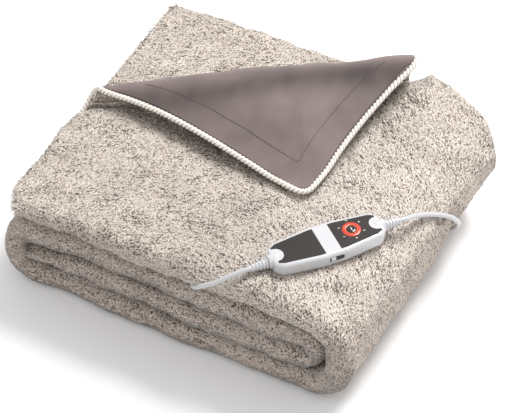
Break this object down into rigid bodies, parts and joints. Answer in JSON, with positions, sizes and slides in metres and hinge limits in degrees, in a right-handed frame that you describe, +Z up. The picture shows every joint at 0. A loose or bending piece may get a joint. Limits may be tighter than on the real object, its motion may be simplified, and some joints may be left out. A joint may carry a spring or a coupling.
{
  "type": "electric heated blanket",
  "caption": "Folded heated throw of faux fur with one corner turned back, a wired control unit on top and its mains lead coiled behind.",
  "frame": {"origin": "middle of the folded blanket's footprint, on the surface it lies on", "axes": "+X along the front folds, from the open end to the rolled end; +Y from front to back; +Z up"},
  "size_m": [0.4908, 0.5413, 0.2146],
  "materials": {
    "fur": "long soft pile",
    "lining": "short velvet pile",
    "piping": "twisted cord edging",
    "white_plastic": "gloss",
    "dark_panel": "satin, fine texture",
    "red_lens": "translucent gloss",
    "black_button": "gloss",
    "white_cord": "satin",
    "pin_metal": "nickel plated"
  },
  "bodies": {
    "blanket": {"fur_cloth": "fur", "lining": "lining", "piping": "piping", "housing": "white_plastic", "panel_left": "dark_panel", "panel_right": "dark_panel", "dial_ring": "red_lens", "strain_relief_left": "white_plastic", "strain_relief_right": "white_plastic", "control_cord": "white_cord", "mains_cord": "white_cord", "plug_cord": "white_cord", "mains_coil": "white_cord", "plug_body": "white_plastic", "plug_pin_1": "pin_metal", "plug_pin_2": "pin_metal"},
    "switch": {"side_switch": "white_plastic"},
    "button": {"centre_button": "black_button"}
  },
  "joints": [
    {"name": "switch_slide", "type": "slide", "parent": "blanket", "child": "switch", "axis": [0.6225, 0.7826, -0.007], "range_m": [0, 0.01]},
    {"name": "button_press", "type": "slide", "parent": "blanket", "child": "button", "axis": [-0.0043, -0.0055, -1], "range_m": [0, 0.001], "stiffness_N_per_m": 400}
  ]
}
